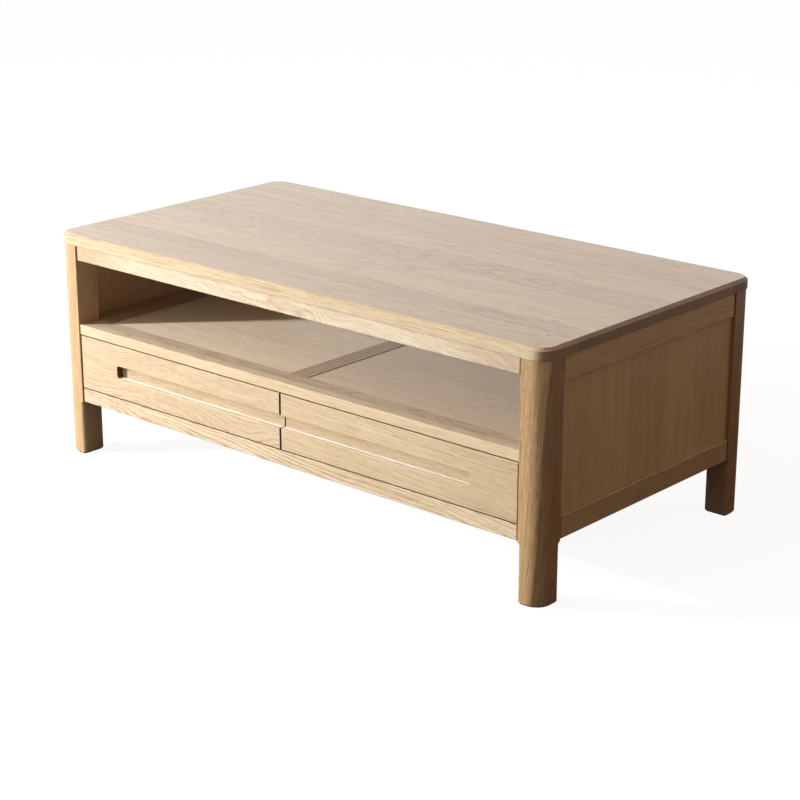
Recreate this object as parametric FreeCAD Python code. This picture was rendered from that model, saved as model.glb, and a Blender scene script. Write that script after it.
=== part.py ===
import FreeCAD, Part
import math
import os

from FreeCAD import Placement, Rotation, Vector

# Oak coffee table with an open shelf above two drawers, in millimetres.
# The origin is on the floor under the middle of the table. +X runs along its width, its front faces -Y.

# Overall size
table_width = 1200.0
table_depth = 616.0
table_height = 452.0

# Top board
top_thickness = 22.0
top_overhang = 2.0
top_bevel_run = 6.5
top_bevel_drop = 5.0
top_lower_chamfer = 1.5

# Legs
leg_width = 50.0
leg_depth = 53.0
leg_corner_radius = 31.0
foot_clearance = 112.0
foot_step = 1.5
foot_cove_radius = 8.0
foot_arris_radius = 7.0
foot_chamfer = 3.5

# Rails between the legs
face_setback = 2.0
rail_thickness = 22.0
front_top_rail_height = 29.0
front_bottom_rail_height = 28.0
side_top_rail_height = 44.0
side_bottom_rail_height = 40.0
eased_arris = 1.0
shadow_gap = 2.0
shadow_gap_depth = 8.0

# Mortise and tenon joints
tenon_length = 20.0
tenon_thickness = 10.0
tenon_shoulder = 6.0
stub_tenon_length = 10.0
joint_clearance = 0.1
joint_end_gap = 0.5

# Side panels and back panel
panel_thickness = 8.0
panel_recess = 6.0
panel_groove_depth = 5.0

# Shelf
shelf_thickness = 20.0
shelf_side_reach = 36.0
shelf_muntin_width = 42.0
shelf_tenon_thickness = 8.0
shelf_panel_thickness = 14.0
shelf_panel_drop = 0.4
shelf_panel_reveal = 0.4
shelf_panel_shrink_gap = 2.5
shelf_groove_depth = 6.0
shelf_tongue_thickness = 6.0
shelf_tongue_length = 5.4

# Inner frame
cross_rail_width = 30.0
cross_rail_height = 25.0
centre_rail_width = 50.0
centre_rail_height = 20.0
partition_thickness = 20.0
partition_setback = 2.0
partition_tongue_thickness = 8.0
partition_tongue_height = 5.0
partition_tongue_inset = 12.0
batten_height = 50.0

# Drawers
drawer_gap = 2.0
drawer_centre_gap = 3.0
drawer_front_height = 107.0
drawer_front_thickness = 22.0
slot_height = 25.0
slot_depth = 13.5
slot_end_margin = 103.0
slot_corner_radius = 6.0
drawer_side_thickness = 12.0
drawer_side_height = 88.0
drawer_back_gap = 44.0
drawer_box_lift = 8.0
drawer_back_thickness = 12.0
drawer_bottom_thickness = 6.0
drawer_bottom_lift = 8.0
drawer_groove_depth = 6.0
housing_depth = 6.0
housing_neck = 7.0
housing_flare = 3.0
pin_count = 3
pin_width = 9.0
pin_flare = 4.0

# Telescopic slides
slide_height = 45.0
slide_gap = 12.7
slide_front_gap = 4.0
slide_back_gap = 16.0
slide_metal = 1.2
slide_play = 0.4
slide_head_room = 2.2
slide_lip = 1.0
slide_mouth = 2.7

# Buttons that hold the top
button_length = 32.0
button_width = 24.0
button_thickness = 18.0
button_tongue_length = 7.0
button_tongue_thickness = 8.0
front_button_spacing = 600.0
side_button_spacing = 300.0

# Screws
screw_radius = 2.0
screw_head_radius = 3.6
screw_head_height = 1.8
screw_point = 2.0
screw_tip_radius = 0.5
screw_sides = 12
screw_clearance = 0.2
slide_screw_bite = 7.0
slide_screw_margin = 60.0
top_screw_bite = 12.0

# Places that follow from the sizes
top_underside = table_height - top_thickness
leg_outer_x = table_width / 2 - top_overhang
leg_outer_y = table_depth / 2 - top_overhang
leg_inner_x = leg_outer_x - leg_width
leg_inner_y = leg_outer_y - leg_depth
face_x = leg_outer_x - face_setback
face_y = leg_outer_y - face_setback
rail_back_x = face_x - rail_thickness
rail_back_y = face_y - rail_thickness
side_panel_inner_x = face_x - panel_recess - panel_thickness

bottom_rail_top = foot_clearance + front_bottom_rail_height
drawer_front_bottom = bottom_rail_top + drawer_gap
drawer_front_top = drawer_front_bottom + drawer_front_height
shelf_underside = drawer_front_top + drawer_gap
shelf_top = shelf_underside + shelf_thickness
shelf_mid = shelf_underside + shelf_thickness / 2
shelf_side_inner = leg_inner_x - shelf_side_reach

drawer_inner_x = drawer_centre_gap / 2
drawer_outer_x = leg_inner_x - drawer_gap
drawer_front_back = -face_y + drawer_front_thickness
box_inner_x = partition_thickness / 2 + slide_gap
box_outer_x = leg_inner_x - slide_gap
box_bottom = drawer_front_bottom + drawer_box_lift
box_top = box_bottom + drawer_side_height
box_back = rail_back_y - drawer_back_gap
floor_bottom = box_bottom + drawer_bottom_lift
floor_top = floor_bottom + drawer_bottom_thickness

slide_front = drawer_front_back + slide_front_gap
slide_back = box_back - slide_back_gap
slide_length = slide_back - slide_front
slide_mid = box_bottom + drawer_side_height / 2
slide_screw_places = (slide_front + slide_screw_margin, slide_back - slide_screw_margin)

X_AXIS = Vector(1, 0, 0)
Y_AXIS = Vector(0, 1, 0)
Z_AXIS = Vector(0, 0, 1)
ORIGIN = Vector(0, 0, 0)
CLOSE = 1e-4

nodes = {}


def about(middle, size):
    """The span of a size about its middle."""
    return (middle - size / 2, middle + size / 2)


def grown(span, amount):
    """A span made longer at both ends."""
    return (span[0] - amount, span[1] + amount)


def block(xs, ys, zs):
    """A box between two values along each axis."""
    corner = Vector(xs[0], ys[0], zs[0])
    return Part.makeBox(xs[1] - xs[0], ys[1] - ys[0], zs[1] - zs[0], corner)


def polygon(points):
    """A flat face inside straight lines."""
    return Part.Face(Part.makePolygon(points + points[:1]))


def joined(first, *others):
    """One solid made of pieces that are cut from the same stock."""
    return first.fuse(list(others)).removeSplitter()


def turned(shape, degrees):
    """A copy turned about the vertical axis through the middle of the table."""
    copy = shape.copy()
    copy.Placement = Placement(ORIGIN, Rotation(Z_AXIS, degrees)).multiply(copy.Placement)
    return copy


def moved(shape, x, y, z):
    """A copy shifted from where it is."""
    copy = shape.copy()
    copy.translate(Vector(x, y, z))
    return copy


def mirrored_x(shape):
    """The copy on the other side, left for right."""
    return shape.mirror(ORIGIN, X_AXIS)


def mirrored_y(shape):
    """The copy on the other side, front for back."""
    return shape.mirror(ORIGIN, Y_AXIS)


def edges_where(shape, test):
    """Every edge whose ends both pass a test."""
    return [edge for edge in shape.Edges if all(test(end.Point) for end in edge.Vertexes)]


def straight_along(edge, axis):
    """Whether an edge runs along an axis."""
    return edge.lastVertex().Point.sub(edge.firstVertex().Point).cross(axis).Length < CLOSE


def eased(shape, test):
    """A copy with the chosen edges eased by a small chamfer."""
    return shape.makeChamfer(eased_arris, edges_where(shape, test))


def screw_section(radius, z):
    """The closed, many-sided outline of a screw's head, shank or hole at one height."""
    turns = [2 * math.pi * side / screw_sides for side in range(screw_sides)]
    points = [Vector(radius * math.cos(turn), radius * math.sin(turn), z) for turn in turns]
    return Part.makePolygon(points + points[:1])


def along_screw(shape, head_place, direction):
    """A shape drawn along +Z from a screw's seat, set where that screw is."""
    shape.Placement = Placement(head_place, Rotation(Z_AXIS, direction))
    return shape


def screw(head_place, direction, length):
    """A pan-head screw whose head sits on a surface, with its shank along a direction."""
    head = [screw_section(screw_head_radius, -screw_head_height), screw_section(screw_head_radius, 0)]
    shank = [
        screw_section(screw_radius, 0),
        screw_section(screw_radius, length - screw_point),
        screw_section(screw_tip_radius, length),
    ]
    body = joined(Part.makeLoft(head, True, True), Part.makeLoft(shank, True, True))
    return along_screw(body, head_place, direction)


def screw_hole(head_place, direction, length):
    """The hole that a screw's shank goes into, a little wider and deeper than the shank."""
    outline = screw_section(screw_radius + screw_clearance, 0)
    body = Part.Face(outline).extrude(Vector(0, 0, length + joint_end_gap))
    return along_screw(body, head_place, direction)


# Top board


def rounded_rectangle(half_x, half_y, radius, z):
    """A closed outline with round corners at one height."""
    inner_x = half_x - radius
    inner_y = half_y - radius
    diagonal = radius * math.sqrt(0.5)
    edges = []
    for sx, sy in ((1, -1), (1, 1), (-1, 1), (-1, -1)):
        centre = Vector(sx * inner_x, sy * inner_y, z)
        side_end = centre + Vector(sx * radius, 0, 0)
        front_end = centre + Vector(0, sy * radius, 0)
        middle = centre + Vector(sx * diagonal, sy * diagonal, 0)
        first, last = (front_end, side_end) if sx * sy < 0 else (side_end, front_end)
        if edges:
            edges.append(Part.makeLine(edges[-1].lastVertex().Point, first))
        edges.append(Part.Arc(first, middle, last).toShape())
    edges.append(Part.makeLine(edges[-1].lastVertex().Point, edges[0].firstVertex().Point))
    return Part.Wire(edges)


def top_board():
    """The top, lofted through its eased underside, its edge and its bevel."""
    half_x = table_width / 2
    half_y = table_depth / 2
    radius = leg_corner_radius + top_overhang
    levels = (
        (top_lower_chamfer, top_underside),
        (0.0, top_underside + top_lower_chamfer),
        (0.0, table_height - top_bevel_drop),
        (top_bevel_run, table_height),
    )
    outlines = []
    for inset, z in levels:
        outlines.append(rounded_rectangle(half_x - inset, half_y - inset, radius - inset, z))
    board = Part.makeLoft(outlines, True, True)
    return board.cut([screw_hole(*place) for place in button_screws()])


# Buttons under the top, drawn with the rail's inner face at y = 0


def button_places():
    """Turn, distance from the middle to the rail's inner face, and place along the rail of each button."""
    places = []
    for turn in (0, 180):
        for along in about(0, front_button_spacing):
            places.append((turn, rail_back_y, along))
    for turn in (90, 270):
        for along in about(0, side_button_spacing):
            places.append((turn, rail_back_x, along))
    return places


def button():
    """A block with a tongue for the rail's slot and a hole for its screw."""
    low = top_underside - button_thickness
    body = block(about(0, button_width), (joint_clearance, button_length), (low, top_underside))
    tongue_ys = (-button_tongue_length, joint_clearance)
    tongue = block(about(0, button_width), tongue_ys, (low, low + button_tongue_thickness))
    hole = screw_hole(Vector(0, button_length / 2, low), Z_AXIS, button_thickness)

    def free_end(p):
        return abs(p.y - button_length) < CLOSE and abs(p.z - low) < CLOSE

    return eased(joined(body, tongue), free_end).cut(hole)


def button_slot():
    """The slot that a button's tongue goes into, long enough for the top to move with the seasons."""
    low = top_underside - button_thickness
    width = button_width + 2 * tenon_shoulder
    depth = button_tongue_length + joint_end_gap
    zs = grown((low, low + button_tongue_thickness), joint_clearance)
    return block(about(0, width), (-depth, joint_end_gap), zs)


def at_button(shape, place):
    """A shape drawn for one button, set at its place."""
    turn, distance, along = place
    return turned(moved(shape, along, -distance, 0), turn)


def button_screws():
    """Head place, direction and length of each screw that goes up through a button."""
    low = top_underside - button_thickness
    screws = []
    for turn, distance, along in button_places():
        head = Rotation(Z_AXIS, turn).multVec(Vector(along, button_length / 2 - distance, low))
        screws.append((head, Z_AXIS, button_thickness + top_screw_bite))
    return screws


# Rails between the legs


class Rail:
    """A rail drawn along X with its show face at y = 0, then turned to its side of the table."""

    def __init__(self, turn, base, height):
        self.turn = turn
        self.base = base
        self.height = height
        across = turn in (0, 180)
        self.length = 2 * (leg_inner_x if across else leg_inner_y)
        self.distance = face_y if across else face_x

    def place(self, shape):
        """A shape drawn for this rail, set at its place."""
        return turned(moved(shape, 0, -self.distance, self.base), self.turn)

    def tenon(self, play=0.0, end_gap=0.0):
        """The bar that ends in this rail's two tenons, with room round it where it cuts the mortises."""
        length = self.length + 2 * (tenon_length + end_gap)
        ys = about(rail_thickness / 2, tenon_thickness + 2 * play)
        zs = (tenon_shoulder - play, self.height - tenon_shoulder + play)
        return block(about(0, length), ys, zs)

    def stock(self):
        """The rail with a shadow gap at each end, its show face eased apart from the arris under the top."""
        front = block(about(0, self.length - 2 * shadow_gap), (0, shadow_gap_depth), (0, self.height))
        back = block(about(0, self.length), (shadow_gap_depth, rail_thickness), (0, self.height))
        under_top = self.base + self.height > top_underside - CLOSE
        show_edges = edges_where(front, lambda p: abs(p.y) < CLOSE)

        def is_free(edge):
            is_upper = straight_along(edge, X_AXIS) and edge.firstVertex().Point.z > CLOSE
            return not (under_top and is_upper)

        free_edges = [edge for edge in show_edges if is_free(edge)]
        return joined(front.makeChamfer(eased_arris, free_edges), back, self.tenon())

    def groove(self, above):
        """The groove for a panel in the rail's upper or lower edge."""
        ys = grown((panel_recess, panel_recess + panel_thickness), joint_clearance)
        outside = joint_end_gap
        low = (-outside, panel_groove_depth)
        high = (self.height - panel_groove_depth, self.height + outside)
        return block(about(0, self.length), ys, high if above else low)

    def stub_mortise(self, width, zs):
        """The mortise in the rail's inner face for a stub tenon at its middle."""
        depth = stub_tenon_length + joint_end_gap
        ys = (rail_thickness - depth, rail_thickness + joint_end_gap)
        heights = grown((zs[0] - self.base, zs[1] - self.base), joint_clearance)
        return block(about(0, width + 2 * joint_clearance), ys, heights)

    def button_slots(self):
        """The slots in the rail's inner face for the buttons under the top."""
        return [at_button(button_slot(), place) for place in button_places() if place[0] == self.turn]


top_rail_base = top_underside - front_top_rail_height
rails = {
    "front_top_rail": Rail(0, top_rail_base, front_top_rail_height),
    "rear_top_rail": Rail(180, top_rail_base, front_top_rail_height),
    "right_top_rail": Rail(90, top_underside - side_top_rail_height, side_top_rail_height),
    "left_top_rail": Rail(270, top_underside - side_top_rail_height, side_top_rail_height),
    "front_bottom_rail": Rail(0, foot_clearance, front_bottom_rail_height),
    "rear_bottom_rail": Rail(180, foot_clearance, front_bottom_rail_height),
    "right_bottom_rail": Rail(90, foot_clearance, side_bottom_rail_height),
    "left_bottom_rail": Rail(270, foot_clearance, side_bottom_rail_height),
}
cross_rail_zs = (top_underside - cross_rail_height, top_underside)
cross_tenon_zs = grown(cross_rail_zs, -tenon_shoulder)
cross_tenon_width = cross_rail_width - 2 * tenon_shoulder
centre_rail_zs = (bottom_rail_top - centre_rail_height, bottom_rail_top)
centre_tenon_zs = grown(centre_rail_zs, -tenon_shoulder)
centre_tenon_width = centre_rail_width - 2 * tenon_shoulder


def finished_rail(name):
    """A rail with its tenons and with everything that is cut into it."""
    rail = rails[name]
    is_top = name.endswith("top_rail")
    across = rail.turn in (0, 180)
    body = rail.stock()
    if across and is_top:
        body = body.cut(rail.stub_mortise(cross_tenon_width, cross_tenon_zs))
    if across and not is_top:
        body = body.cut(rail.stub_mortise(centre_tenon_width, centre_tenon_zs))
    if not across:
        body = body.cut(rail.groove(above=not is_top))
    if name == "rear_bottom_rail":
        body = body.cut(rail.groove(above=True))
    body = rail.place(body)
    if is_top:
        body = body.cut(rail.button_slots())
    return body


def inner_rail(width, zs, tenon_width, tenon_zs):
    """A rail from front to back between two of the long rails, with a stub tenon at each end."""
    body = block(about(0, width), about(0, 2 * rail_back_y), zs)
    tenon = block(about(0, tenon_width), about(0, 2 * (rail_back_y + stub_tenon_length)), tenon_zs)
    return joined(body, tenon)


# Side panels and back panel


def right_side_panel():
    """The panel set in grooves of the side rails and of the legs."""
    reach = panel_groove_depth - joint_end_gap
    low = foot_clearance + side_bottom_rail_height - reach
    high = top_underside - side_top_rail_height + reach
    xs = (side_panel_inner_x, side_panel_inner_x + panel_thickness)
    return block(xs, about(0, 2 * (leg_inner_y + reach)), (low, high))


def side_panel_groove():
    """The groove for the right panel in the legs, from front to back."""
    low = foot_clearance + side_bottom_rail_height - panel_groove_depth
    high = top_underside - side_top_rail_height + panel_groove_depth
    xs = grown((side_panel_inner_x, side_panel_inner_x + panel_thickness), joint_clearance)
    return block(xs, about(0, 2 * (leg_inner_y + panel_groove_depth)), (low, high))


def back_panel_spans():
    """The back panel's spans between the rear legs, the rear bottom rail and the shelf's rear rail."""
    reach = panel_groove_depth - joint_end_gap
    outer_y = face_y - panel_recess
    xs = about(0, 2 * (leg_inner_x - joint_clearance))
    return xs, (outer_y - panel_thickness, outer_y), (bottom_rail_top - reach, shelf_underside + reach)


# Shelf


def shelf_tenon(play=0.0, end_gap=0.0):
    """The bar that ends in the tenons of the shelf's front rail."""
    length = 2 * (leg_inner_x + tenon_length + end_gap)
    ys = grown((-face_y, -leg_inner_y), play - tenon_shoulder)
    return block(about(0, length), ys, about(shelf_mid, shelf_tenon_thickness + 2 * play))


def shelf_groove_zs():
    """The height span of the grooves that hold the shelf's panels and stub tenons."""
    return about(shelf_mid, shelf_tongue_thickness + 2 * joint_clearance)


def shelf_front_rail():
    """The shelf's front rail, grooved along its inner edge."""
    body = block(about(0, 2 * leg_inner_x), (-face_y, -leg_inner_y), (shelf_underside, shelf_top))
    body = eased(body, lambda p: abs(p.y + face_y) < CLOSE)
    groove_ys = (-leg_inner_y - shelf_groove_depth, -leg_inner_y + joint_end_gap)
    groove = block(about(0, 2 * leg_inner_x), groove_ys, shelf_groove_zs())
    return joined(body, shelf_tenon()).cut(groove)


def shelf_rear_rail():
    """The shelf's rear rail, which also holds the back panel's upper edge."""
    panel_ys = back_panel_spans()[1]
    groove_zs = (shelf_underside - joint_end_gap, shelf_underside + panel_groove_depth)
    groove = block(about(0, 2 * leg_inner_x), grown(panel_ys, joint_clearance), groove_zs)
    return mirrored_y(shelf_front_rail()).cut(groove)


def shelf_stub(xs):
    """The bar that ends in the stub tenons of a shelf rail from front to back."""
    reach = leg_inner_y + shelf_groove_depth - joint_end_gap
    return block(xs, about(0, 2 * reach), about(shelf_mid, shelf_tongue_thickness))


def shelf_side_groove(edge, inward):
    """The groove along an edge of a shelf rail from front to back."""
    xs = sorted((edge - inward * joint_end_gap, edge + inward * shelf_groove_depth))
    return block(xs, about(0, 2 * leg_inner_y), shelf_groove_zs())


def shelf_right_rail():
    """The shelf's right rail, between the legs and beside the side panel."""
    xs = (shelf_side_inner, side_panel_inner_x - joint_clearance)
    body = block(xs, about(0, 2 * leg_inner_y), (shelf_underside, shelf_top))
    stub = shelf_stub((shelf_side_inner, leg_inner_x - joint_clearance))
    return joined(body, stub).cut(shelf_side_groove(shelf_side_inner, 1))


def partition_tongue(zs, play=0.0):
    """The tongue on the partition's upper or lower edge, and the groove that it goes into."""
    ys = about(0, 2 * (leg_inner_y - partition_tongue_inset + play))
    return block(about(0, partition_tongue_thickness + 2 * play), ys, zs)


def shelf_centre_muntin():
    """The bar between the shelf's two panels, grooved below for the partition."""
    half = shelf_muntin_width / 2
    body = block((-half, half), about(0, 2 * leg_inner_y), (shelf_underside, shelf_top))
    body = joined(body, shelf_stub((-half, half)))
    housing_zs = (shelf_underside, shelf_underside + partition_tongue_height + joint_clearance)
    housing = partition_tongue(housing_zs, joint_clearance)
    return body.cut([shelf_side_groove(half, -1), shelf_side_groove(-half, 1), housing])


def shelf_panel(left_edge, right_edge):
    """A panel with a tongue all round, pushed to the right so that a shrinkage gap shows at its left."""
    body_xs = (left_edge + shelf_panel_shrink_gap, right_edge - shelf_panel_reveal)
    body_ys = about(0, 2 * (leg_inner_y - shelf_panel_reveal))
    high = shelf_top - shelf_panel_drop
    body = block(body_xs, body_ys, (high - shelf_panel_thickness, high))
    tongue_zs = about(shelf_mid, shelf_tongue_thickness)
    side_tongues = block(grown(body_xs, shelf_tongue_length), body_ys, tongue_zs)
    end_tongues = block(body_xs, grown(body_ys, shelf_tongue_length), tongue_zs)
    return joined(body, side_tongues, end_tongues)


# Legs


def leg_outline():
    """The front right leg's section, with its outer corner rounded and its other corners eased."""
    radius = leg_corner_radius
    diagonal = radius * math.sqrt(0.5)
    centre = Vector(leg_outer_x - radius, -leg_outer_y + radius, 0)
    arc = Part.Arc(
        centre + Vector(0, -radius, 0),
        centre + Vector(diagonal, -diagonal, 0),
        centre + Vector(radius, 0, 0),
    ).toShape()
    corners = [
        arc.lastVertex().Point,
        Vector(leg_outer_x, -leg_inner_y - eased_arris, 0),
        Vector(leg_outer_x - eased_arris, -leg_inner_y, 0),
        Vector(leg_inner_x + eased_arris, -leg_inner_y, 0),
        Vector(leg_inner_x, -leg_inner_y - eased_arris, 0),
        Vector(leg_inner_x, -leg_outer_y + eased_arris, 0),
        Vector(leg_inner_x + eased_arris, -leg_outer_y, 0),
        arc.firstVertex().Point,
    ]
    return Part.Face(Part.Wire([arc] + Part.makePolygon(corners).Edges))


def foot_path():
    """The line round the foot's inner faces, from the front face to the outer face."""
    radius = foot_arris_radius
    diagonal = radius * math.sqrt(0.5)
    left = leg_inner_x + foot_step
    back = -leg_inner_y - foot_step
    front = -leg_outer_y
    right = leg_outer_x
    corners = ((left, front, 1, 1), (left, back, 1, -1), (right, back, -1, -1))
    edges = []
    for index, (x, y, sx, sy) in enumerate(corners):
        centre = Vector(x + sx * radius, y + sy * radius, 0)
        upright = centre + Vector(-sx * radius, 0, 0)
        level = centre + Vector(0, -sy * radius, 0)
        middle = centre + Vector(-sx * diagonal, -sy * diagonal, 0)
        first, last = (upright, level) if index == 1 else (level, upright)
        if edges:
            edges.append(Part.makeLine(edges[-1].lastVertex().Point, first))
        edges.append(Part.Arc(first, middle, last).toShape())
    return Part.Wire(edges)


def foot_relief():
    """What is cut from the foot: a slight step with round arrises, run out in a cove under the rails."""
    path = foot_path()
    start = path.Edges[0].firstVertex().Point
    diagonal = foot_cove_radius * math.sqrt(0.5)
    cove_start = foot_clearance - foot_cove_radius
    outside = foot_step + foot_cove_radius
    below = -foot_chamfer

    def at(out, z):
        return start + Vector(0, -out, z)

    cove_middle = at(foot_cove_radius - diagonal, cove_start + diagonal)
    cove = Part.Arc(at(0, cove_start), cove_middle, at(foot_cove_radius, foot_clearance)).toShape()
    corners = [
        at(foot_cove_radius, foot_clearance),
        at(outside, foot_clearance),
        at(outside, below),
        at(0, below),
        at(0, cove_start),
    ]
    profile = Part.Wire([cove] + Part.makePolygon(corners).Edges)
    return path.makePipeShell([profile], True, False)


def front_right_leg():
    """The leg before its mortises: a rounded post with a softened foot and a chamfered lower edge."""
    post = leg_outline().extrude(Vector(0, 0, top_underside)).cut(foot_relief())
    return post.makeChamfer(foot_chamfer, edges_where(post, lambda p: abs(p.z) < CLOSE))


def batten_tenon(play=0.0, end_gap=0.0):
    """The bar that ends in the tenons of the right slide batten."""
    middle = (leg_inner_x + rail_back_x) / 2
    reach = leg_inner_y + stub_tenon_length + end_gap
    zs = grown(about(slide_mid, batten_height), play - tenon_shoulder)
    return block(about(middle, tenon_thickness + 2 * play), about(0, 2 * reach), zs)


def right_slide_batten():
    """The batten that brings the slide's seat level with the legs' inner faces."""
    body = block((leg_inner_x, rail_back_x), about(0, 2 * leg_inner_y), about(slide_mid, batten_height))
    holes = [screw_hole(*place) for place in case_slide_screws("right")]
    return joined(body, batten_tenon()).cut(holes)


def leg_cutters():
    """Every mortise and groove that is cut into the legs."""
    cutters = [rail.place(rail.tenon(joint_clearance, joint_end_gap)) for rail in rails.values()]
    shelf_mortise = shelf_tenon(joint_clearance, joint_end_gap)
    batten_mortise = batten_tenon(joint_clearance, joint_end_gap)
    groove = side_panel_groove()
    cutters += [shelf_mortise, mirrored_y(shelf_mortise)]
    cutters += [batten_mortise, mirrored_x(batten_mortise)]
    cutters += [groove, mirrored_x(groove)]
    return cutters


# Drawers, drawn on the right and mirrored to the left


def slot_cutter():
    """The finger slot, open towards the other drawer and rounded at its outer end."""
    middle = (drawer_front_bottom + drawer_front_top) / 2
    low, high = about(middle, slot_height)
    end = drawer_outer_x - slot_end_margin
    start = drawer_inner_x - drawer_centre_gap
    radius = slot_corner_radius
    shift = radius * (1 - math.sqrt(0.5))
    lower_arc = Part.Arc(
        Vector(end - radius, -face_y, low),
        Vector(end - shift, -face_y, low + shift),
        Vector(end, -face_y, low + radius),
    ).toShape()
    upper_arc = Part.Arc(
        Vector(end, -face_y, high - radius),
        Vector(end - shift, -face_y, high - shift),
        Vector(end - radius, -face_y, high),
    ).toShape()
    upright = Part.makeLine(lower_arc.lastVertex().Point, upper_arc.firstVertex().Point)
    rest = Part.makePolygon([
        upper_arc.lastVertex().Point,
        Vector(start, -face_y, high),
        Vector(start, -face_y, low),
        lower_arc.firstVertex().Point,
    ])
    outline = Part.Wire([lower_arc, upright, upper_arc] + rest.Edges)
    return Part.Face(outline).extrude(Vector(0, slot_depth, 0))


def housing(middle_x, zs, play=0.0):
    """The sliding dovetail that joins a drawer side to its front."""
    neck = housing_neck / 2 + play
    tip = neck + housing_flare / 2
    depth = housing_depth + play
    root = drawer_front_back + (joint_end_gap if play else 0.0)
    outline = [
        Vector(middle_x - neck, root, zs[0]),
        Vector(middle_x + neck, root, zs[0]),
        Vector(middle_x + neck, drawer_front_back, zs[0]),
        Vector(middle_x + tip, drawer_front_back - depth, zs[0]),
        Vector(middle_x - tip, drawer_front_back - depth, zs[0]),
        Vector(middle_x - neck, drawer_front_back, zs[0]),
    ]
    if not play:
        outline = outline[2:]
    return polygon(outline).extrude(Vector(0, 0, zs[1] - zs[0]))


side_middles = {
    "inner": box_inner_x + drawer_side_thickness / 2,
    "outer": box_outer_x - drawer_side_thickness / 2,
}


def floor_spans(play=0.0):
    """The spans of the drawer's bottom, and of the grooves that it slides into."""
    reach = drawer_groove_depth - (0.0 if play else joint_end_gap)
    inside = (box_inner_x + drawer_side_thickness, box_outer_x - drawer_side_thickness)
    ys = (drawer_front_back - reach, box_back)
    return grown(inside, reach), ys, grown((floor_bottom, floor_top), play)


def drawer_front():
    """A drawer front with its half of the finger slot, its sliding dovetails and its bottom's groove."""
    xs = (drawer_inner_x, drawer_outer_x)
    front = block(xs, (-face_y, drawer_front_back), (drawer_front_bottom, drawer_front_top))
    front = eased(front, lambda p: abs(p.y + face_y) < CLOSE)
    housing_zs = (drawer_front_bottom - joint_end_gap, box_top + joint_clearance)
    cutters = [housing(middle, housing_zs, joint_clearance) for middle in side_middles.values()]
    groove_xs, groove_ys, groove_zs = floor_spans(joint_clearance)
    cutters.append(block(groove_xs, (groove_ys[0], drawer_front_back + joint_end_gap), groove_zs))
    cutters.append(slot_cutter())
    return front.cut(cutters)


def back_pins(play=0.0):
    """The dovetail pins that run through both drawer sides, narrow at the back."""
    pitch = (box_top - floor_top) / pin_count
    low_y = box_back - drawer_back_thickness - play
    high_y = box_back + (joint_end_gap if play else 0.0)
    pins = []
    for index in range(pin_count):
        middle = floor_top + pitch * (index + 0.5)
        wide = pin_width / 2 + play
        narrow = wide - pin_flare / 2
        outline = [
            Vector(box_inner_x, low_y, middle - wide),
            Vector(box_inner_x, low_y, middle + wide),
            Vector(box_inner_x, high_y, middle + narrow),
            Vector(box_inner_x, high_y, middle - narrow),
        ]
        pins.append(polygon(outline).extrude(Vector(box_outer_x - box_inner_x, 0, 0)))
    return pins


def drawer_side(which):
    """A drawer side with its sliding dovetail, the bottom's groove and sockets for the back's pins."""
    middle = side_middles[which]
    zs = (box_bottom, box_top)
    body = block(about(middle, drawer_side_thickness), (drawer_front_back, box_back), zs)
    top_edges = edges_where(body, lambda p: abs(p.z - box_top) < CLOSE)
    body = body.makeChamfer(eased_arris, [edge for edge in top_edges if straight_along(edge, Y_AXIS)])
    tongue = housing(middle, zs)
    groove_xs, groove_ys, groove_zs = floor_spans(joint_clearance)
    groove = block(groove_xs, grown(groove_ys, joint_end_gap), groove_zs)
    holes = [screw_hole(*place) for place in drawer_slide_screws(which)]
    return joined(body, tongue).cut([groove] + back_pins(joint_clearance) + holes)


def drawer_back():
    """The drawer's back, which stands on the bottom and is dovetailed through the sides."""
    xs = grown((box_inner_x, box_outer_x), -drawer_side_thickness - joint_clearance)
    zs = (floor_top + joint_clearance, box_top - eased_arris)
    body = block(xs, (box_back - drawer_back_thickness, box_back), zs)
    return joined(body, *back_pins())


def drawer_bottom():
    """The drawer's bottom, slid into the grooves from behind."""
    return block(*floor_spans())


# Telescopic slides, drawn as upper half sections with u from the case towards the drawer


def slide_sections():
    """The upper half sections of a slide's three nested members, as (u, height) pairs."""
    metal = slide_metal
    outer_high = slide_height / 2
    outer_low = outer_high - metal
    outer_end = slide_gap - slide_mouth
    middle_high = outer_low - slide_play
    middle_low = middle_high - metal
    middle_web = metal + slide_head_room
    middle_end = outer_end - metal - slide_play
    inner_high = middle_low - slide_play
    neck_high = middle_low - slide_lip - slide_play
    bead_start = middle_web + metal + slide_play
    bead_end = middle_end - metal - slide_play
    case_member = [
        (metal, outer_low),
        (outer_end - metal, outer_low),
        (outer_end - metal, outer_low - slide_lip),
        (outer_end, outer_low - slide_lip),
        (outer_end, outer_high),
        (0, outer_high),
    ]
    middle_member = [
        (middle_web + metal, middle_low),
        (middle_end - metal, middle_low),
        (middle_end - metal, middle_low - slide_lip),
        (middle_end, middle_low - slide_lip),
        (middle_end, middle_high),
        (middle_web, middle_high),
    ]
    drawer_member = [
        (slide_gap - metal, neck_high - metal),
        (bead_start, neck_high - metal),
        (bead_start, inner_high),
        (bead_end, inner_high),
        (bead_end, neck_high),
        (slide_gap, neck_high),
    ]
    return {"case_member": case_member, "middle_member": middle_member, "drawer_member": drawer_member}


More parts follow.
